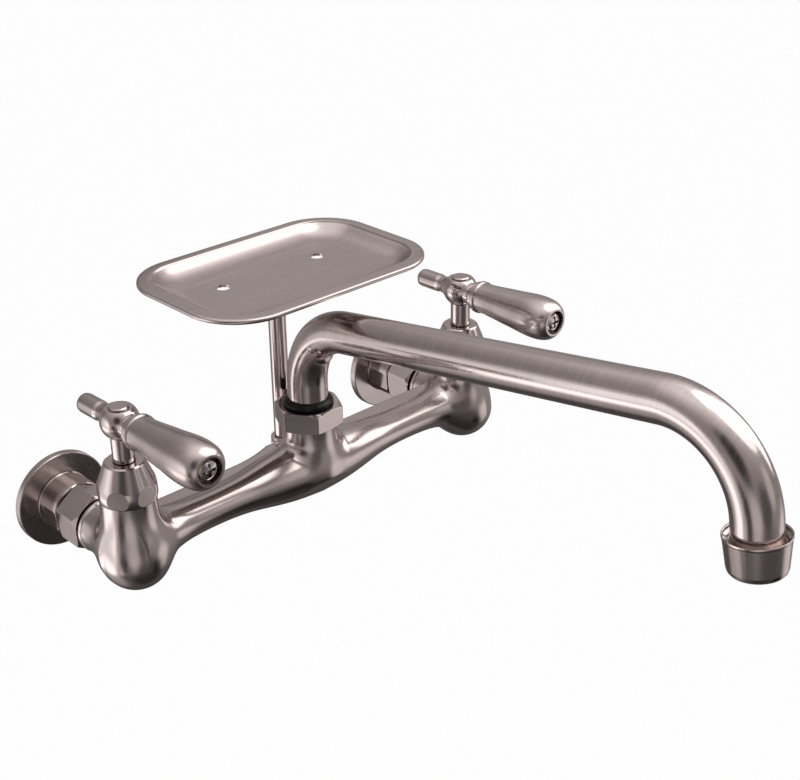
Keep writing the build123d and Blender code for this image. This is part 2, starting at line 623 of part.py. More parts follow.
def aerator_core():
    """Insert that breaks up the stream: a cup with a ring of holes and an open skirt."""
    floor = CORE_BOTTOM - 2.0
    cup = turned((0, AERATOR_STEP), (OUTLET_THREAD_R - 0.1, AERATOR_STEP), (OUTLET_THREAD_R - 0.1, 13.0),
                 (8.8, 13.0), (8.8, CORE_BOTTOM), (CORE_CUP_R, CORE_BOTTOM), (CORE_CUP_R, floor), (0, floor))
    hole_count = 8
    for i in range(hole_count):
        angle = radians(360 / hole_count * i)
        cup -= Pos(5.2 * cos(angle), 5.2 * sin(angle), 0) * rod(0.9, AERATOR_STEP - 1, floor + 1)
    return cup - rod(1.2, AERATOR_STEP - 1, floor + 1)


def aerator_screen():
    """Round mesh across the mouth, drawn as crossed bars in a rim."""
    low, high = 13.2, 13.8
    mesh = ring(CORE_CUP_R - THREAD_GAP, 6.6, low, high)
    disc = rod(6.9, low, high)
    bar = Pos(0, 0, (low + high) / 2) * Box(13.4, 0.45, 0.5)
    for i in range(-2, 3):
        mesh += Pos(0, i * MESH_SPACING, 0) * bar & disc
        mesh += Pos(i * MESH_SPACING, 0, 0) * Rot(0, 0, 90) * bar & disc
    return mesh


# ---------------------------------------------------------------- soap tray
def tray_outline(inset):
    corner = max(TRAY_CORNER_R - inset, TRAY_SMALLEST_CORNER_R)
    return RectangleRounded(TRAY_X - 2 * inset, TRAY_Y - 2 * inset, corner)


def tray_slab(top_inset, bottom_inset, top_z, bottom_z):
    top = Pos(0, TRAY_CENTRE_Y, top_z) * tray_outline(top_inset)
    bottom = Pos(0, TRAY_CENTRE_Y, bottom_z) * tray_outline(bottom_inset)
    return loft([bottom, top], ruled=True)


def soap_tray():
    """Pressed tray: flat rim with a turned-down edge, sloped walls, two drain holes."""
    foot_inset = TRAY_RIM_W + TRAY_WALL_RUN
    lip_bottom = TRAY_RIM_Z - TRAY_LIP
    rim = Pos(0, TRAY_CENTRE_Y, lip_bottom) * extrude(tray_outline(0), TRAY_LIP)
    under_rim = extrude(tray_outline(TRAY_SHEET), TRAY_LIP + 1 - TRAY_SHEET)
    rim -= Pos(0, TRAY_CENTRE_Y, lip_bottom - 1) * under_rim
    basin = tray_slab(TRAY_RIM_W - TRAY_SHEET, foot_inset - TRAY_SHEET, TRAY_RIM_Z, TRAY_UNDERSIDE)
    solid = rim + basin - tray_slab(TRAY_RIM_W, foot_inset, TRAY_RIM_Z, TRAY_FLOOR_Z)
    for x in (-DRAIN_X, DRAIN_X):
        solid -= Pos(x, DRAIN_Y, 0) * rod(DRAIN_R, TRAY_UNDERSIDE - 1, TRAY_FLOOR_Z + 1)
    return solid


def tray_post():
    """Round post with a pad that is soldered under the tray."""
    pad = rod(POST_PAD_R, TRAY_UNDERSIDE - POST_PAD_T, TRAY_UNDERSIDE)
    return at_post(rod(POST_R, POST_FOOT, TRAY_UNDERSIDE) + pad)


def post_set_screw():
    """Grub screw in the side of the post socket, with a hex key hole."""
    screw = rod(SET_SCREW_R, POST_R, POST_SOCKET_R + 0.2)
    return set_screw_side(screw - hexagon(HEX_KEY, POST_R + 0.7, POST_SOCKET_R + 1))


# ---------------------------------------------------------------- write the pieces
def side_pieces(name, side):
    """The nodes of one valve, inlet and handle."""
    return {
        f"{name}_wall_flange": at_inlet(side, wall_flange()),
        f"{name}_inlet_adapter": at_inlet(side, inlet_adapter()),
        f"{name}_union_washer": at_inlet(side, union_washer()),
        f"{name}_tailpiece": at_inlet(side, tailpiece()),
        f"{name}_coupling_nut": at_inlet(side, coupling_nut()),
        f"{name}_bonnet": at_valve(side, bonnet()),
        f"{name}_cartridge_body": at_valve(side, cartridge_body()),
        f"{name}_cartridge_oring": at_valve(side, cartridge_oring()),
        f"{name}_stem_oring": at_valve(side, stem_oring()),
        f"{name}_fixed_disc": at_valve(side, fixed_disc()),
        f"{name}_seat_seal": at_valve(side, seat_seal()),
        f"{name}_valve_stem": at_valve(side, valve_stem()),
        f"{name}_moving_disc": at_valve(side, moving_disc()),
        f"{name}_handle_hub": handle_hub(side),
        f"{name}_handle_screw": at_valve(side, handle_screw()),
        f"{name}_index_button": at_valve(side, index_button()),
        f"{name}_lever_grip": at_lever(side, lever_grip()),
        f"{name}_lever_screw": at_lever(side, lever_screw()),
    }


def all_pieces():
    pieces = {"faucet_body": faucet_body()}
    for name, side in SIDES:
        pieces.update(side_pieces(name, side))
    pieces.update({
        "spout_tube": spout_tube(),
        "spout_spigot": at_boss(spout_spigot()),
        "spout_orings": Compound(children=[at_boss(oring) for oring in spout_orings()]),
        "spout_friction_washer": at_boss(spout_friction_washer()),
        "spout_nut": at_boss(spout_nut()),
        "spout_gasket": at_boss(spout_gasket()),
        "outlet_fitting": at_aerator(outlet_fitting()),
        "aerator_housing": at_aerator(aerator_housing()),
        "aerator_washer": at_aerator(aerator_washer()),
        "aerator_core": at_aerator(aerator_core()),
        "aerator_screen": at_aerator(aerator_screen()),
        "soap_tray": soap_tray(),
        "tray_post": tray_post(),
        "post_set_screw": post_set_screw(),
    })
    return pieces


os.makedirs("parts", exist_ok=True)
for node, shape in all_pieces().items():
    export_step(shape, f"parts/{node}.step")
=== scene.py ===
import math

import bmesh
import bpy
import numpy as np
from mathutils import Matrix, Vector


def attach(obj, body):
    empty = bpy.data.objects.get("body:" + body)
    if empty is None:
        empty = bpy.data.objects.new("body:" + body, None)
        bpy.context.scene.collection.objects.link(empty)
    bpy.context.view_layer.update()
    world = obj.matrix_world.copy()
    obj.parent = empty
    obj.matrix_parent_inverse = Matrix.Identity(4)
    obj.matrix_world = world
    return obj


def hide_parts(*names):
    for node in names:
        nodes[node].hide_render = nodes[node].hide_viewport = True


MM = 0.001

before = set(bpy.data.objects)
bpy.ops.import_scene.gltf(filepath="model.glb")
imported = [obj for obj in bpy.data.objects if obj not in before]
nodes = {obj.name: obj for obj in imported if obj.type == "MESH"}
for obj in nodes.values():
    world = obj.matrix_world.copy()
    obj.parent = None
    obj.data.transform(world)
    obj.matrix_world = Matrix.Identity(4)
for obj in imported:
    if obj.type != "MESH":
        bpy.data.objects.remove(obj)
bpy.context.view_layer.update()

# ---------------------------------------------------------------- finishes, in metres
PAINTED_SHADE_REACH = 2.2 * MM                # how far painted shade reaches out of crevices, grooves and joints
PAINTED_SHADE_DARKEST = 0.06            # what the painted shade leaves of the colour at its darkest
PAINTED_SHADE_OPENNESS = (0.25, 0.75)   # open share of the surroundings where the painted shade is darkest, and where it ends
PAINTED_SHADE_SAMPLES = 8
WORN_EDGE = 0.4 * MM            # radius that sharp edges are shaded with
WORN_EDGE_SAMPLES = 6
GRAIN_DETAIL = 4.0
GRAIN_RANGE = (0.3, 0.7)        # span of the grain's noise that the roughness follows
SLOW_SCALE, SLOW_DETAIL = 60.0, 3.0
TONE_RANGE = (0.35, 0.65)       # span of the noise that the tone follows
DENT_DEPTH = 0.1 * MM


def new_material(name):
    material = bpy.data.materials.new(name)
    material.use_nodes = True
    tree = material.node_tree
    shader = tree.nodes["Principled BSDF"]
    return material, tree, shader


def link(tree, source, target):
    tree.links.new(source, target)


def noise(tree, place, scale, detail):
    texture = tree.nodes.new("ShaderNodeTexNoise")
    texture.inputs["Scale"].default_value = scale
    texture.inputs["Detail"].default_value = detail
    link(tree, place, texture.inputs["Vector"])
    return texture.outputs["Fac"]


def remapped(tree, value, source, target=(0.0, 1.0), interpolation="LINEAR"):
    """Value with the source range stretched to the target range, and held at its ends."""
    node = tree.nodes.new("ShaderNodeMapRange")
    node.interpolation_type = interpolation
    for name, number in zip(("From Min", "From Max", "To Min", "To Max"), (*source, *target)):
        node.inputs[name].default_value = number
    link(tree, value, node.inputs["Value"])
    return node.outputs["Result"]


def calculated(tree, operation, *terms):
    """Result of a math node; each term is another node's output or a plain number."""
    node = tree.nodes.new("ShaderNodeMath")
    node.operation = operation
    for entry, term in zip(node.inputs, terms):
        if isinstance(term, float):
            entry.default_value = term
        else:
            link(tree, term, entry)
    return node.outputs["Value"]


def painted_crevice_shade(tree, color, reach):
    """Painted shade: the colour turns dark where other surfaces stand within reach, in grooves, joints and
    inner corners.
    """
    near = tree.nodes.new("ShaderNodeAmbientOcclusion")
    near.inputs["Distance"].default_value = reach
    near.samples = PAINTED_SHADE_SAMPLES
    dark = tree.nodes.new("ShaderNodeVectorMath")
    dark.operation = "SCALE"
    link(tree, color, dark.inputs[0])
    link(tree, remapped(tree, near.outputs["AO"], PAINTED_SHADE_OPENNESS, (PAINTED_SHADE_DARKEST, 1.0)), dark.inputs["Scale"])
    return dark.outputs["Vector"]


def surface(name, color, roughness, metallic=1.0, scale=(1.0, 1.0, 1.0), tilt=0.0, fineness=900.0,
            streak=0.03, bump=0.02, mottle=0.04, grain=0.3, shade_reach=0.0, worn_edge=0.0):
    """Finish with a fine grain and slow changes of tone.

    fineness is the scale of the grain. An axis with a small scale draws it out into brushing along that
    axis, and tilt turns the coordinates about X after that, in degrees. streak says how much the grain
    changes the roughness, bump how strongly it dents the surface, mottle how much the tone changes, and
    grain how much the grain counts in that beside the slow noise. The next to last argument is how far
    painted shade reaches out of crevices, where it darkens the colour, and worn_edge is the radius that sharp
    edges are shaded with, so that they catch the light.
    """
    material, tree, shader = new_material(name)
    shader.inputs["Metallic"].default_value = metallic
    coords = tree.nodes.new("ShaderNodeTexCoord")
    mapping = tree.nodes.new("ShaderNodeMapping")
    mapping.inputs["Scale"].default_value = scale
    mapping.inputs["Rotation"].default_value = (math.radians(tilt), 0, 0)
    link(tree, coords.outputs["Object"], mapping.inputs["Vector"])
    fine = noise(tree, mapping.outputs["Vector"], fineness, GRAIN_DETAIL)
    slow = noise(tree, coords.outputs["Object"], SLOW_SCALE, SLOW_DETAIL)

    rough = remapped(tree, fine, GRAIN_RANGE, (roughness - streak, roughness + streak))
    link(tree, rough, shader.inputs["Roughness"])

    sum_of_noises = calculated(tree, "MULTIPLY_ADD", fine, grain, slow)
    tone_share = remapped(tree, sum_of_noises, [end * (1 + grain) for end in TONE_RANGE])
    tone = tree.nodes.new("ShaderNodeMix")
    tone.data_type = "RGBA"
    tone.inputs["A"].default_value = (*[c * (1 - mottle) for c in color], 1)
    tone.inputs["B"].default_value = (*[min(1.0, c * (1 + mottle)) for c in color], 1)
    link(tree, tone_share, tone.inputs["Factor"])
    tinted = tone.outputs["Result"]
    # painted shade: the colour darkens in crevices
    if shade_reach:
        tinted = painted_crevice_shade(tree, tinted, shade_reach)
    link(tree, tinted, shader.inputs["Base Color"])

    dents = tree.nodes.new("ShaderNodeBump")
    dents.inputs["Strength"].default_value = bump
    dents.inputs["Distance"].default_value = DENT_DEPTH
    link(tree, fine, dents.inputs["Height"])
    link(tree, dents.outputs["Normal"], shader.inputs["Normal"])
    if worn_edge:
        edge = tree.nodes.new("ShaderNodeBevel")
        edge.samples = WORN_EDGE_SAMPLES
        edge.inputs["Radius"].default_value = worn_edge
        link(tree, edge.outputs["Normal"], dents.inputs["Normal"])
    return material


def turned_metal(name, color, roughness, anisotropy, axis):
    """Metal faced on a lathe: fine rings round one axis, which fan its reflections out."""
    # painted shade darkens its colour in crevices
    material = surface(name, color, roughness, bump=0.01, shade_reach=PAINTED_SHADE_REACH, worn_edge=WORN_EDGE)
    tree = material.node_tree
    shader = tree.nodes["Principled BSDF"]
    shader.inputs["Anisotropic"].default_value = anisotropy
    rings = tree.nodes.new("ShaderNodeTangent")
    rings.direction_type = "RADIAL"
    rings.axis = axis
    link(tree, rings.outputs["Tangent"], shader.inputs["Tangent"])
    return material


NICKEL = (0.62, 0.55, 0.53)
# where a reach is given, painted shade darkens the colour in crevices
CASTING = surface("cast_nickel", NICKEL, 0.18, scale=(1.0, 1.0, 0.05), fineness=2600.0, streak=0.04,
                  bump=0.004, shade_reach=PAINTED_SHADE_REACH)
POLISHED = surface("polished_nickel", NICKEL, 0.13, bump=0.008, shade_reach=PAINTED_SHADE_REACH, worn_edge=WORN_EDGE)
TUBE = surface("spout_nickel", NICKEL, 0.16, scale=(0.06, 1.0, 0.06), tilt=9.5, streak=0.05, bump=0.06,
               mottle=0.05, grain=2.0)
SATIN = surface("satin_nickel", NICKEL, 0.24, scale=(1.0, 0.1, 1.0), fineness=2000.0, streak=0.05,
                bump=0.006, shade_reach=PAINTED_SHADE_REACH)
TURNED = turned_metal("turned_nickel", NICKEL, 0.20, 0.75, "Y")
TRAY = surface("tray_nickel", NICKEL, 0.22, scale=(0.03, 1.0, 1.0), fineness=600.0, streak=0.04, bump=0.04,
               mottle=0.035, grain=3.0)
STEEL = surface("stainless_steel", (0.78, 0.72, 0.70), 0.16, shade_reach=0.7 * PAINTED_SHADE_REACH)
BRASS = surface("bare_brass", (0.78, 0.60, 0.32), 0.20, scale=(1.0, 1.0, 0.1))
RUBBER = surface("black_rubber", (0.005, 0.005, 0.005), 0.3, metallic=0.0, streak=0.06, bump=0.1)
RUBBER.node_tree.nodes["Principled BSDF"].inputs["Specular IOR Level"].default_value = 0.25
CERAMIC = surface("white_ceramic", (0.86, 0.85, 0.82), 0.14, metallic=0.0, mottle=0.02)
PLASTIC = surface("white_plastic", (0.80, 0.80, 0.78), 0.38, metallic=0.0, mottle=0.02)

# finish of each node, named without its side; the three nodes that are replaced below aren't in it
NODE_FINISHES = {
    "wall_flange": TURNED,
    "inlet_adapter": POLISHED,
    "coupling_nut": POLISHED,
    "tailpiece": POLISHED,
    "bonnet": POLISHED,
    "handle_hub": POLISHED,
    "index_button": SATIN,
    "lever_grip": SATIN,
    "lever_screw": STEEL,
    "handle_screw": STEEL,
    "post_set_screw": STEEL,
    "aerator_screen": STEEL,
    "tray_post": POLISHED,
    "spout_nut": POLISHED,
    "aerator_housing": POLISHED,
    "cartridge_body": BRASS,
    "valve_stem": BRASS,
    "spout_spigot": BRASS,
    "outlet_fitting": BRASS,
    "fixed_disc": CERAMIC,
    "moving_disc": CERAMIC,
    "spout_friction_washer": PLASTIC,
    "aerator_core": PLASTIC,
    "union_washer": RUBBER,
    "cartridge_oring": RUBBER,
    "stem_oring": RUBBER,
    "seat_seal": RUBBER,
    "spout_orings": RUBBER,
    "spout_gasket": RUBBER,
    "aerator_washer": RUBBER,
}

for node in nodes:
    kind = node.removeprefix("left_").removeprefix("right_")
    finishes = nodes[node].data.materials
    finishes.clear()
    finishes.append(NODE_FINISHES.get(kind, POLISHED))

# ---------------------------------------------------------------- mesh helpers, in millimetres
RELAXATIONS = 12                # times that a skin's points are evened out
PULLS = 3                       # steps that bring a point onto the surface each time
SLOPE_STEP = 0.02               # distance over which a field's slope is measured
LEAST_SLOPE = 0.2               # square of the slope below which a step isn't lengthened any more


def mesh_of(name, verts, faces):
    mesh = bpy.data.meshes.new(name)
    mesh.from_pydata([tuple(MM * float(c) for c in v) for v in verts], [], [tuple(f) for f in faces])
    return mesh


def finish_mesh(mesh, sharp):
    """Turns all faces outwards and shades them smooth, except where they turn by more than sharp degrees."""
    work = bmesh.new()
    work.from_mesh(mesh)
    bmesh.ops.recalc_face_normals(work, faces=work.faces)
    work.to_mesh(mesh)
    work.free()
    mesh.shade_smooth()
    mesh.set_sharp_from_angle(angle=math.radians(sharp))


def add_piece(name, verts, faces, material, body, sharp):
    mesh = mesh_of(name, verts, faces)
    mesh.validate()
    piece = bpy.data.objects.new(name, mesh)
    bpy.context.scene.collection.objects.link(piece)
    finish_mesh(mesh, sharp)
    mesh.materials.append(material)
    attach(piece, body)
    return piece


def lathe(outline, steps=64):
    """Solid or ring of revolution about Z from a closed outline of (radius, height) points."""
    verts, faces, rings = [], [], []
    for r, h in outline:
        if r == 0:
            rings.append([len(verts)] * steps)
            verts.append((0.0, 0.0, h))
            continue
        rings.append(list(range(len(verts), len(verts) + steps)))
        for i in range(steps):
            a = 2 * math.pi * i / steps
            verts.append((r * math.cos(a), r * math.sin(a), h))
    for low, high in zip(rings, rings[1:] + rings[:1]):
        for i in range(steps):
            j = (i + 1) % steps
            corners = [low[i], low[j], high[j], high[i]]
            face = [c for k, c in enumerate(corners) if c != corners[k - 1]]
            if len(set(face)) >= 3:
                faces.append(face)
    return verts, faces


def rod(radius, low, high, steps=64):
    return lathe([(0, low), (radius, low), (radius, high), (0, high)], steps)


def ring(outer, inner, low, high):
    return lathe([(inner, low), (outer, low), (outer, high), (inner, high)])


def placed(shape, move, turn=None):
    """Points and faces of a shape whose points are turned by a matrix, then moved."""
    verts, faces = shape
    turn = turn or Matrix.Identity(3)
    return [tuple(turn @ Vector(v) + Vector(move)) for v in verts], faces


def cut_mesh(piece, cuts):
    """Subtracts closed shapes from a piece, which keeps the result as its own mesh."""
    group = bpy.data.collections.new("cutters")
    bpy.context.scene.collection.children.link(group)
    tools = []
    for i, (verts, faces) in enumerate(cuts):
        mesh = mesh_of(f"cutter_{i}", verts, faces)
        finish_mesh(mesh, 30)
        tools.append(bpy.data.objects.new(f"cutter_{i}", mesh))
        group.objects.link(tools[-1])
    modifier = piece.modifiers.new("cut", "BOOLEAN")
    modifier.operation = "DIFFERENCE"
    modifier.operand_type = "COLLECTION"
    modifier.collection = group
    modifier.solver = "EXACT"
    bpy.context.view_layer.update()
    result = bpy.data.meshes.new_from_object(piece.evaluated_get(bpy.context.evaluated_depsgraph_get()))
    piece.modifiers.clear()
    old = piece.data
    piece.data = result
    bpy.data.meshes.remove(old)
    for tool in tools:
        bpy.data.objects.remove(tool)
    bpy.data.collections.remove(group)


def natural_spline(points):
    """Smooth curve through (x, y) points, level beyond its ends, as a function of arrays."""
    xs, ys = np.array(sorted(points), float).T
    step = np.diff(xs)
    count = len(xs)
    system = np.eye(count)
    right = np.zeros(count)
    for i in range(1, count - 1):
        system[i, i - 1:i + 2] = step[i - 1], 2 * (step[i - 1] + step[i]), step[i]
        right[i] = 6 * ((ys[i + 1] - ys[i]) / step[i] - (ys[i] - ys[i - 1]) / step[i - 1])
    bend = np.linalg.solve(system, right)

    def curve(x):
        x = np.clip(x, xs[0], xs[-1])
        i = np.clip(np.searchsorted(xs, x) - 1, 0, count - 2)
        h, a, b = step[i], xs[i + 1] - x, x - xs[i]
        return (bend[i] * a ** 3 + bend[i + 1] * b ** 3) / (6 * h) + (
            ys[i] / h - bend[i] * h / 6) * a + (ys[i + 1] / h - bend[i + 1] * h / 6) * b
    return curve


def blended(a, b, width):
    """Union of two distance fields with a fillet between them."""
    h = np.clip(0.5 + 0.5 * (b - a) / width, 0, 1)
    return b + (a - b) * h - width * h * (1 - h)


def slab(across, along, edge):
    """Distance field of a plate from its outline's field and its height's field, with rounded edges."""
    across, along = across + edge, along + edge
    outside = np.sqrt(np.maximum(across, 0) ** 2 + np.maximum(along, 0) ** 2)
    return outside + np.minimum(np.maximum(across, along), 0) - edge


def skin_of(field, low, high, cell):
    """Mesh of the surface where the field is zero: one point in each cell, moved onto the surface."""
    axes = [np.arange(a, b + cell, cell) for a, b in zip(low, high)]
    inside = field(*np.meshgrid(*axes, indexing="ij")) < 0
    size = [n - 1 for n in inside.shape]
    count = np.zeros(size, int)
    for dx in (0, 1):
        for dy in (0, 1):
            for dz in (0, 1):
                count += inside[dx:dx + size[0], dy:dy + size[1], dz:dz + size[2]]
    mixed = (count > 0) & (count < 8)
    number = np.full(size, -1)
    number[mixed] = np.arange(mixed.sum())
    points = np.argwhere(mixed) * cell + np.array(low) + cell / 2
    faces = []
    for axis in range(3):
        u, v = (axis + 1) % 3, (axis + 2) % 3
        turned = np.moveaxis(inside, (axis, u, v), (0, 1, 2))
        cells = np.moveaxis(number, (axis, u, v), (0, 1, 2))
        i, j, k = np.nonzero(turned[:-1, 1:-1, 1:-1] != turned[1:, 1:-1, 1:-1])
        quad = np.stack([cells[i, j, k], cells[i, j + 1, k], cells[i, j + 1, k + 1], cells[i, j, k + 1]], 1)
        backward = turned[i + 1, j + 1, k + 1]
        quad[backward] = quad[backward, ::-1]
        faces.append(quad)
    faces = np.concatenate(faces)
    for _ in range(RELAXATIONS):
        points = onto_surface(field, relaxed(points, faces))
    return onto_surface(field, points), faces


def relaxed(points, faces):
    """Points moved halfway to the middle of their neighbours."""
    total = np.zeros_like(points)
    share = np.zeros(len(points))
    for a in range(4):
        for b in ((a + 1) % 4, (a + 3) % 4):
            np.add.at(total, faces[:, a], points[faces[:, b]])
            np.add.at(share, faces[:, a], 1)
    return 0.5 * points + 0.5 * total / share[:, None]


def onto_surface(field, points):
    step = SLOPE_STEP
    for _ in range(PULLS):
        x, y, z = points.T
        slope = np.stack([field(x + step, y, z) - field(x - step, y, z),
                          field(x, y + step, z) - field(x, y - step, z),
                          field(x, y, z + step) - field(x, y, z - step)], 1) / (2 * step)
        length = field(x, y, z) / np.maximum((slope ** 2).sum(1), LEAST_SLOPE)
        points = points - slope * length[:, None]
    return points


# ---------------------------------------------------------------- body casting, in millimetres
INLET_X = 101.6                 # from the middle to each inlet, and to the valve in front of it
VALVE_Y = -59.8                 # from the wall to the valves, the arms and the spout's swivel
TOWER_TOP = 24.8                # under the bonnets
BELLY_Z, BELLY_R = -3.7, 15.6   # round underside of a tower
BELLY_FORWARD = 1.4             # how far it bulges away from the wall
ARM_Z = 1.0
NECK_END = -37.4                # where the tailpiece goes in
NECK_BACK, NECK_FRONT = -35, -56
BOSS_TOP = 24.2
THREAD_R, THREAD_TOP = 11.55, 27.6      # end of the boss inside the spout nut
WEB_END_X, WEB_FRONT = 93.6, -58
WEB_Z, WEB_HALF_THICKNESS, WEB_EDGE_R = 4.75, 2.75, 0.9
POST_Y = -39.3
SOCKET_R, SOCKET_Z, SOCKET_HALF_HEIGHT, SOCKET_EDGE_R = 5.9, 1.7, 7.7, 0.5
FIELD_TOP = 28.6                # above all that the cutters leave
BLEND = 5.0                     # width of the fillets between towers, arms, necks and boss
WEB_BLEND, SOCKET_BLEND = 1.8, 1.6
SKIN_BOX = ((-119, -79, -22), (119, -31, 30))
SKIN_CELL = 0.8

SPOUT_BORE_R, SPOUT_BORE_FLOOR = 10.0, 10.0
POST_BORE_R, POST_BORE_FLOOR = 4.2, -1.0
SET_SCREW_R, SET_SCREW_Z = 1.65, 5.6
UNION_BORE_R = 7.45

# radii: of the towers and the boss at a height, of the arms at a distance from the middle, and of the necks
# at a distance from the wall; and the web's rear edge at a distance from the middle
TOWER_OUTLINE = natural_spline([(24.8, 12.4), (18, 12.6), (10, 13.6), (3, 15.0), (BELLY_Z, BELLY_R),
                                (-10, BELLY_R)])
ARM_OUTLINE = natural_spline([(101.6, 13.6), (95.6, 13.4), (86.6, 11.2), (79.6, 9.4), (69.6, 8.3), (52, 8.2),
                              (40, 9.2), (26, 11.6), (14, 13.3), (0, 14.2)])
BOSS_OUTLINE = natural_spline([(24.2, 12.6), (20, 12.7), (12, 13.5), (5, 14.1), (0, 14.6)])
NECK_OUTLINE = natural_spline([(-37.4, 12.3), (-41.4, 12.4), (-46.4, 12.9), (-54.8, 14.3)])
WEB_BACK = natural_spline([(93.6, -44.4), (44, -44.4), (22, -43.0), (11, -39.6)])

# outline of the hollow in a tower: the way down to the arm, the cartridge's bore and the bonnet's bore
TOWER_HOLLOW = [(0, -12.5), (4.6, -12.5), (4.6, 0), (9.2, 0), (9.2, 15), (10.7, 15), (10.7, 26), (0, 26)]

FROM_WALL = Matrix.Rotation(math.radians(90), 3, "X")       # height becomes distance from the wall
TO_LEFT = Matrix.Rotation(math.radians(-90), 3, "Y")        # height becomes distance to the left


def casting_field(x, y, z):
    """Distance field of the casting's outside, before its ends are cut flat and its holes bored."""
    side = np.abs(x)
    valve = side - INLET_X
    ahead = y - VALVE_Y
    arm_z = z - ARM_Z
    arms = np.maximum(np.sqrt(ahead ** 2 + arm_z ** 2) - ARM_OUTLINE(side), side - INLET_X)
    rise = np.clip((TOWER_TOP - z) / (TOWER_TOP - BELLY_Z), 0, 1)
    lean = ahead + BELLY_FORWARD * rise * rise * (3 - 2 * rise)
    drop = np.minimum(z - BELLY_Z, 0)
    tower = np.sqrt(valve ** 2 + lean ** 2 + drop ** 2) - TOWER_OUTLINE(z)
    neck = np.maximum(np.sqrt(valve ** 2 + z ** 2) - NECK_OUTLINE(y),
                      np.maximum(NECK_FRONT - y, y - NECK_BACK))
    boss = np.maximum(np.sqrt(x ** 2 + ahead ** 2) - BOSS_OUTLINE(z), -z)
    body = blended(blended(arms, blended(tower, neck, BLEND), BLEND), boss, BLEND)
    web = slab(np.maximum(y - WEB_BACK(side), np.maximum(side - WEB_END_X, WEB_FRONT - y)),
               np.abs(z - WEB_Z) - WEB_HALF_THICKNESS, WEB_EDGE_R)
    socket = slab(np.sqrt(x ** 2 + (y - POST_Y) ** 2) - SOCKET_R,
                  np.abs(z - SOCKET_Z) - SOCKET_HALF_HEIGHT, SOCKET_EDGE_R)
    whole = blended(body, blended(web, socket, SOCKET_BLEND), WEB_BLEND)
    return np.maximum(whole, z - FIELD_TOP)


def casting_cutters():
    """Flat ends and bores. Radii of 20 and more, and the far ends of the bores, only reach past the metal."""
    spout = (0, VALVE_Y, 0)
    post = (0, POST_Y, 0)
    cuts = [placed(ring(25, THREAD_R, BOSS_TOP, 40), spout),
            placed(rod(20, THREAD_TOP, 42), spout),
            placed(rod(SPOUT_BORE_R, SPOUT_BORE_FLOOR, 28.5), spout),
            placed(rod(POST_BORE_R, POST_BORE_FLOOR, 30), post),
            placed(rod(SET_SCREW_R, 2.0, 9.0, 24), (0, POST_Y, SET_SCREW_Z), TO_LEFT)]
    for x in (-INLET_X, INLET_X):
        valve = (x, VALVE_Y, 0)
        inlet = (x, 0, 0)
        cuts.append(placed(rod(25, TOWER_TOP, 40), valve))
        cuts.append(placed(lathe(TOWER_HOLLOW), valve))
        cuts.append(placed(rod(22, 20, -NECK_END), inlet, FROM_WALL))
        cuts.append(placed(rod(UNION_BORE_R, -NECK_END - 1, 46), inlet, FROM_WALL))
    return cuts


def body_casting():
    points, faces = skin_of(casting_field, *SKIN_BOX, SKIN_CELL)
    piece = add_piece("body_casting", points, faces, CASTING, "faucet", 32)
    cut_mesh(piece, casting_cutters())
    finish_mesh(piece.data, 40)
    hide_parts("faucet_body")


body_casting()

# ---------------------------------------------------------------- spout tube, in millimetres
SPOUT_R, SPOUT_WALL = 9.525, 1.1
SPOUT_FOOT = 26.0
SPOUT_BEND_START = 45.4
SPOUT_BEND_R, SPOUT_BEND_TURN = 33.4, 80.5
SPOUT_RUN = 174.1
SPOUT_DROP_R, SPOUT_DROP_TURN = 37.6, 92.5
SPOUT_TAIL = 12.2

# marks the bending tool left inside the first bend: place along the bend and round the tube in degrees
# (90 faces the bend's centre), their half-widths, and their height in millimetres
BEND_MARKS = [
    (46, 82, 15, 52, -1.5),
    (53, 96, 4.5, 46, -1.0),
    (36, 84, 5.5, 40, 0.7),
    (56, 145, 3.2, 9, -2.6),
    (50, 157, 3.6, 10, 0.5),
]


def bump_of(distance):
    """Smooth bump: 1 at distance 0, nothing from distance 1 on."""
    return np.where(distance < 1, (1 - np.minimum(distance, 1) ** 2) ** 2, 0.0)


def spout_stations():
    """Points of the tube's axis, its heading from upright towards -Y, and the angle in the first bend."""
    y, z, heading = VALVE_Y, SPOUT_FOOT, 0.0
    stations = [(y, z, heading, None)]

    def ahead(length, count):
        nonlocal y, z
        y0, z0 = y, z
        for i in range(1, count + 1):
            y = y0 - math.sin(math.radians(heading)) * length * i / count
            z = z0 + math.cos(math.radians(heading)) * length * i / count
            stations.append((y, z, heading, None))

    def bend(radius, turn, count, marked):
        nonlocal y, z, heading
        a = math.radians(heading)
        middle_y, middle_z = y - radius * math.cos(a), z - radius * math.sin(a)
        start = heading
        for i in range(1, count + 1):
            heading = start + turn * i / count
            a = math.radians(heading)
            y, z = middle_y + radius * math.cos(a), middle_z + radius * math.sin(a)
            stations.append((y, z, heading, heading - start if marked else None))

    ahead(SPOUT_BEND_START - SPOUT_FOOT, count=4)
    bend(SPOUT_BEND_R, SPOUT_BEND_TURN, count=110, marked=True)
    ahead(SPOUT_RUN, count=12)
    bend(SPOUT_DROP_R, SPOUT_DROP_TURN, count=48, marked=False)
    ahead(SPOUT_TAIL, count=2)
    return stations


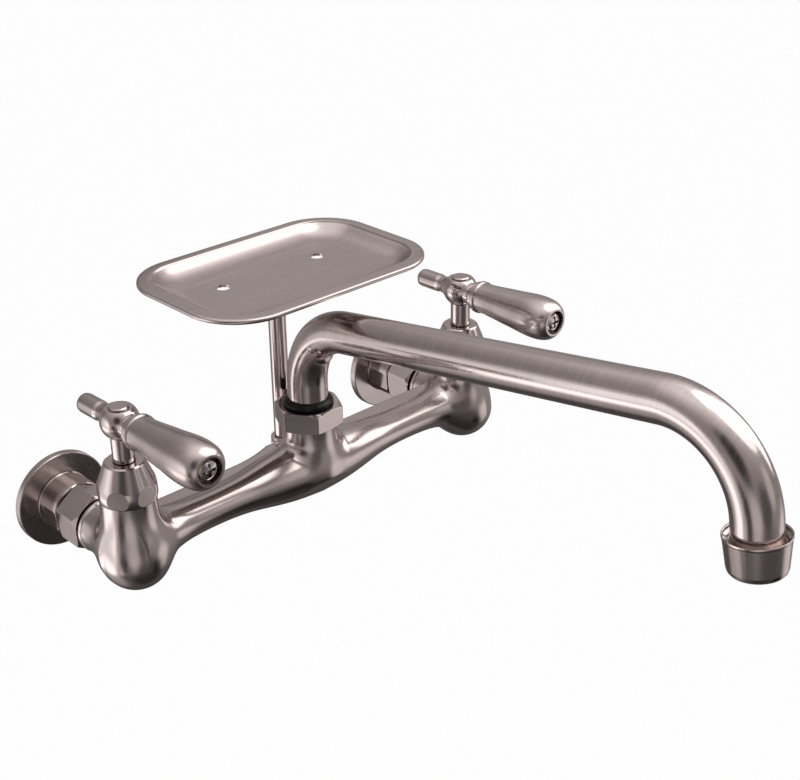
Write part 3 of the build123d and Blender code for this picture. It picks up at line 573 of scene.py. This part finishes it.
def spout_tube(steps=144):
    """Bent tube with the marks inside its first bend, and its wall at both ends."""
    around = np.radians(np.arange(steps) * 360 / steps)
    stations = spout_stations()
    verts = []
    for radius in (SPOUT_R, SPOUT_R - SPOUT_WALL):
        for y, z, heading, place in stations:
            r = np.full(steps, radius)
            if place is not None:
                for at, side, half_length, half_turn, height in BEND_MARKS:
                    off = (np.degrees(around) - side + 180) % 360 - 180
                    distance = np.sqrt(((place - at) / half_length) ** 2 + (off / half_turn) ** 2)
                    r = r + height * bump_of(distance)
            a = math.radians(heading)
            inward = r * np.sin(around)
            verts += zip(r * np.cos(around), y - inward * math.cos(a), z - inward * math.sin(a))
    count = len(stations)
    outside = [i * steps for i in range(count)]
    inside = [(count + i) * steps for i in reversed(range(count))]
    rings = outside + inside
    faces = []
    for low, high in zip(rings, rings[1:] + rings[:1]):
        for i in range(steps):
            j = (i + 1) % steps
            faces.append((low + i, low + j, high + j, high + i))
    piece = add_piece("bent_spout_tube", verts, faces, TUBE, "spout", 50)
    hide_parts("spout_tube")


spout_tube()

# ---------------------------------------------------------------- soap tray, in millimetres
TRAY_RIM_Z = 99.6
TRAY_HALF_X, TRAY_HALF_Y = 63.5, 42.7
TRAY_CORNER_R, TRAY_SMALLEST_CORNER_R = 26.5, 2.5
TRAY_CENTRE_Y = -46.0
DRAINS = [(-27.7, -36.9), (27.7, -36.9)]
DRAIN_R = 3.3
DRAIN_CUT = (88, 98)            # heights below and above the tray's floor
# the pressed sheet from the rim's lower edge, over the top to the middle, and back below: inset, depth
TRAY_TOP = [(0.2, 2.3), (0, 2.05), (0, 1.2), (0.16, 0.75), (0.5, 0.44), (1.0, 0.28), (1.8, 0.2),
            (3.8, 0.08), (5.7, 0), (5.95, 0.02), (6.1, 0.16), (6.3, 0.65), (6.45, 0.9), (6.8, 1.1),
            (7.8, 1.75), (9.0, 2.65), (10.4, 3.55), (12.0, 4.4), (13.8, 5.1), (15.8, 5.6), (18.0, 5.95),
            (20.4, 6.14), (23, 6.2), (28, 6.2), (38, 6.2)]
TRAY_BELOW = [(38, 7.4), (26, 7.4), (22, 7.38), (18.6, 7.2), (15.4, 6.75), (12.6, 6.0), (10.2, 5.0),
              (8.2, 3.7), (6.6, 2.4), (5.6, 1.6), (5.0, 1.3), (4.4, 1.2), (1.7, 1.2), (1.3, 1.5), (1.2, 2.3)]


def tray_ring(inset, depth, corner_steps=20, side_steps=6):
    """Closed outline of the tray drawn in by inset, with the same number of points for every inset."""
    corner = max(TRAY_CORNER_R - inset, TRAY_SMALLEST_CORNER_R)
    flat_x, flat_y = TRAY_HALF_X - inset - corner, TRAY_HALF_Y - inset - corner
    corners = [(flat_x, flat_y, 0), (-flat_x, flat_y, 90), (-flat_x, -flat_y, 180), (flat_x, -flat_y, 270)]
    outline = []
    for k, (x, y, start) in enumerate(corners):
        for i in range(corner_steps + 1):
            a = math.radians(start + 90 * i / corner_steps)
            outline.append((x + corner * math.cos(a), y + corner * math.sin(a)))
        next_x, next_y, next_start = corners[(k + 1) % 4]
        a = math.radians(next_start)
        goal = (next_x + corner * math.cos(a), next_y + corner * math.sin(a))
        last = outline[-1]
        for i in range(1, side_steps):
            share = i / side_steps
            outline.append(tuple(p + (q - p) * share for p, q in zip(last, goal)))
    return [(x, y + TRAY_CENTRE_Y, TRAY_RIM_Z - depth) for x, y in outline]


def soap_tray():
    """Pressed dish: flat rim with a rolled edge, a fine step, a hollow wall that runs into the floor."""
    rings = [tray_ring(*place) for place in TRAY_TOP + TRAY_BELOW]
    count = len(rings[0])
    verts = [point for outline in rings for point in outline]
    faces = []
    middle = len(TRAY_TOP) - 1
    for k in range(len(rings)):
        low, high = k * count, (k + 1) % len(rings) * count
        if k == middle:
            faces.append([low + i for i in range(count)])
            faces.append([high + i for i in reversed(range(count))])
            continue
        for i in range(count):
            j = (i + 1) % count
            faces.append((low + i, low + j, high + j, high + i))
    piece = add_piece("dished_soap_tray", verts, faces, TRAY, "faucet", 50)
    cut_mesh(piece, [placed(rod(DRAIN_R, *DRAIN_CUT), (x, y, 0)) for x, y in DRAINS])
    finish_mesh(piece.data, 40)
    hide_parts("soap_tray")


soap_tray()

# ---------------------------------------------------------------- room, in metres
# Directions are (azimuth, elevation) in degrees: azimuth 0 is straight out of the wall, +90 is towards +X.
FLOOR_Z = -1.2
FLOOR_SIZE = 160.0
FLOOR_GREY, FLOOR_ROUGHNESS = 0.92, 0.9
FLOOR_WHITENESS = 0.97          # how much of the floor's look is plain white
ROOM_GLOW = 0.5                 # light that the white room sends to the part

TENT_R = 1.15
TENT_GAPS = [((-133, -103), (-21, 5)), ((-180, 180), (72, 90))]     # where the white room shows
TENT_LEVELS = [(-90, 0.10), (-58, 0.12), (-42, 0.17), (-28, 0.28), (-14, 0.35), (0, 0.33), (15, 0.32),
               (30, 0.38), (40, 0.47), (50, 0.62), (60, 0.82), (72, 1.0)]       # grey at each elevation
TENT_TINT = (0.97, 0.907, 0.907)
# centre of a patch, its inner and outer half-angles, and the factor at its centre
TENT_PATCHES = [
    ((-50, 25), 5, 24, 0.16),
    ((-8, 2), 6, 20, 0.35),
    ((19, 12), 5, 15, 1.9),
    ((-40, -8), 6, 20, 1.9),
    ((47, -24), 8, 22, 2.7),
    ((25, -34), 5, 14, 0.2),
    ((46, 55), 18, 48, 1.4),
    ((0, -46), 24, 44, 0.3),
    ((-64, -34), 8, 22, 0.7),
    ((-80, -31), 3, 9, 2.3),
    ((-69, -14), 6, 14, 0.22),
    ((-92, -16), 8, 24, 1.6),
    ((158, 16), 6, 16, 0.6),
    ((140, 23), 8, 15, 1.25),
    ((-160, 32), 12, 34, 0.72),
    ((70, 24), 8, 26, 3.0),
    ((-118, -12), 20, 34, 2.4),
    ((-124, -46), 14, 32, 3.4),
    ((-100, 8), 4, 18, 1.4),
    ((150, -45), 20, 50, 0.7),
]


def direction(azimuth, elevation):
    a, e = math.radians(azimuth), math.radians(elevation)
    return Vector((math.sin(a) * math.cos(e), -math.cos(a) * math.cos(e), math.sin(e)))


KEY_TARGET = Vector((0, -0.12, 0.04))
KEY_DIRECTION, KEY_DISTANCE = (46, 53), 0.95
LAMP_TINT = (1.0, 0.985, 0.97)
# soft lamps: where each stands, the point it faces, its width and height, its radiance and its outline
LAMPS = {
    "key": (KEY_TARGET + direction(*KEY_DIRECTION) * KEY_DISTANCE, KEY_TARGET, (1.35, 1.35), 1.2, "ELLIPSE"),
    "right_fill": ((0.74, -0.38, 0.28), (0, -0.15, 0.05), (0.44, 0.4), 1.3, "RECTANGLE"),
    "left_strip": ((-0.62, 0.10, 0.0), (-0.1, -0.1, 0.03), (0.3, 0.24), 0.35, "RECTANGLE"),
}


def show_white(tree, share, plain, white, output):
    """Gives the output a white shader for camera, glossy and transmission rays, and a plain one for the rest.

    share says how much of the white shader those rays see.
    """
    path = tree.nodes.new("ShaderNodeLightPath")
    weight = path.outputs["Is Camera Ray"]
    for ray in ("Is Glossy Ray", "Is Transmission Ray"):
        weight = calculated(tree, "MAXIMUM", weight, path.outputs[ray])
    mix = tree.nodes.new("ShaderNodeMixShader")
    link(tree, calculated(tree, "MULTIPLY", weight, share), mix.inputs["Fac"])
    link(tree, plain, mix.inputs[1])
    link(tree, white, mix.inputs[2])
    link(tree, mix.outputs["Shader"], output.inputs["Surface"])


def plain_floor():
    bpy.ops.mesh.primitive_plane_add(size=FLOOR_SIZE, location=(0, 0, FLOOR_Z))
    floor = bpy.context.object
    floor.name = "floor"
    material, tree, shader = new_material("pale_floor")
    shader.inputs["Base Color"].default_value = (FLOOR_GREY, FLOOR_GREY, FLOOR_GREY, 1)
    shader.inputs["Roughness"].default_value = FLOOR_ROUGHNESS
    white = tree.nodes.new("ShaderNodeEmission")
    show_white(tree, FLOOR_WHITENESS, shader.outputs["BSDF"], white.outputs["Emission"],
               tree.nodes["Material Output"])
    floor.data.materials.append(material)


def pale_world():
    world = bpy.data.worlds.new("studio")
    bpy.context.scene.world = world
    world.use_nodes = True
    tree = world.node_tree
    room = tree.nodes["Background"]
    room.inputs["Color"].default_value = (1, 1, 1, 1)
    room.inputs["Strength"].default_value = ROOM_GLOW
    white = tree.nodes.new("ShaderNodeBackground")
    white.inputs["Color"].default_value = (1, 1, 1, 1)
    show_white(tree, 1.0, room.outputs["Background"], white.outputs["Background"], tree.nodes["World Output"])


def tent_glow(tree, glow):
    """Gives the tent's light its grey: a ramp over elevation, times soft patches."""
    coords = tree.nodes.new("ShaderNodeTexCoord")
    unit = tree.nodes.new("ShaderNodeVectorMath")
    unit.operation = "NORMALIZE"
    link(tree, coords.outputs["Object"], unit.inputs[0])
    split = tree.nodes.new("ShaderNodeSeparateXYZ")
    link(tree, unit.outputs["Vector"], split.inputs["Vector"])
    ramp = tree.nodes.new("ShaderNodeValToRGB")
    stops = ramp.color_ramp.elements
    stops.remove(stops[1])
    for i, (elevation, level) in enumerate(TENT_LEVELS):
        place = (math.sin(math.radians(elevation)) + 1) / 2
        stop = stops[0] if i == 0 else stops.new(place)
        stop.color = (*[level * tint for tint in TENT_TINT], 1)
    link(tree, remapped(tree, split.outputs["Z"], (-1.0, 1.0)), ramp.inputs["Fac"])
    link(tree, ramp.outputs["Color"], glow.inputs["Color"])

    factor = 1.0
    for centre, inner, outer, gain in TENT_PATCHES:
        aim = tree.nodes.new("ShaderNodeVectorMath")
        aim.operation = "DOT_PRODUCT"
        aim.inputs[1].default_value = direction(*centre)
        link(tree, unit.outputs["Vector"], aim.inputs[0])
        edges = [math.cos(math.radians(half_angle)) for half_angle in (outer, inner)]
        patch = remapped(tree, aim.outputs["Value"], edges, (1.0, gain), "SMOOTHSTEP")
        factor = calculated(tree, "MULTIPLY", factor, patch)
    link(tree, factor, glow.inputs["Strength"])


def grey_tent(step=3):
    """Grey cards round the part, which only its reflections see, with gaps that show the white room."""
    def in_gap(azimuth, elevation):
        return any(a0 < azimuth < a1 and e0 < elevation < e1 for (a0, a1), (e0, e1) in TENT_GAPS)
    verts, faces = [], []
    for elevation in range(-90, 90, step):
        for azimuth in range(-180, 180, step):
            if in_gap(azimuth + step / 2, elevation + step / 2):
                continue
            faces.append(tuple(range(len(verts), len(verts) + 4)))
            for da, de in ((0, 0), (step, 0), (step, step), (0, step)):
                verts.append(direction(azimuth + da, elevation + de) * TENT_R)
    mesh = bpy.data.meshes.new("grey_tent")
    mesh.from_pydata(verts, [], faces)
    tent = bpy.data.objects.new("grey_tent", mesh)
    bpy.context.scene.collection.objects.link(tent)
    tent.visible_camera = False
    tent.visible_diffuse = False
    tent.visible_shadow = False
    tent.visible_transmission = False
    material, tree, shader = new_material("tent_grey")
    material.cycles.emission_sampling = "NONE"
    tree.nodes.remove(shader)
    glow = tree.nodes.new("ShaderNodeEmission")
    tent_glow(tree, glow)
    link(tree, glow.outputs["Emission"], tree.nodes["Material Output"].inputs["Surface"])
    mesh.materials.append(material)


def softbox(name, place, target, size, radiance, outline):
    data = bpy.data.lights.new(name, "AREA")
    data.shape = outline
    data.size, data.size_y = size
    area = size[0] * size[1] * (math.pi / 4 if outline == "ELLIPSE" else 1)
    data.energy = radiance * math.pi * area
    data.color = LAMP_TINT
    lamp = bpy.data.objects.new(name, data)
    bpy.context.scene.collection.objects.link(lamp)
    lamp.location = place
    lamp.rotation_euler = (Vector(place) - Vector(target)).to_track_quat("Z", "Y").to_euler()
    lamp.visible_camera = False


plain_floor()
pale_world()
grey_tent()
for lamp_name, lamp_data in LAMPS.items():
    softbox(lamp_name, *lamp_data)

bpy.context.scene.view_settings.view_transform = "Standard"

# ---------------------------------------------------------------- camera, in metres and degrees
CAMERA = Vector((-0.383, -0.53121, 0.33976))
YAW = 43.15518                  # turned right from facing the wall
PITCH = 26.3446                 # looking down
ROLL = -0.73912                 # turned about its line of sight
FOCAL_PIXELS, FRAME_WIDTH = 1446.9, 800


def photo_camera():
    data = bpy.data.cameras.new("camera")
    data.sensor_width = 36.0
    data.lens = FOCAL_PIXELS * data.sensor_width / FRAME_WIDTH
    data.clip_start = 0.01
    camera = bpy.data.objects.new("camera", data)
    bpy.context.scene.collection.objects.link(camera)
    yaw, pitch, roll = [math.radians(angle) for angle in (YAW, PITCH, ROLL)]
    forward = Vector((math.sin(yaw) * math.cos(pitch), math.cos(yaw) * math.cos(pitch), -math.sin(pitch)))
    level = Vector((math.cos(yaw), -math.sin(yaw), 0.0))
    upright = level.cross(forward)
    right = level * math.cos(roll) + upright * math.sin(roll)
    up = upright * math.cos(roll) - level * math.sin(roll)
    rotation = Matrix((right, up, -forward)).transposed().to_4x4()
    camera.matrix_world = Matrix.Translation(CAMERA) @ rotation
    bpy.context.scene.camera = camera


photo_camera()
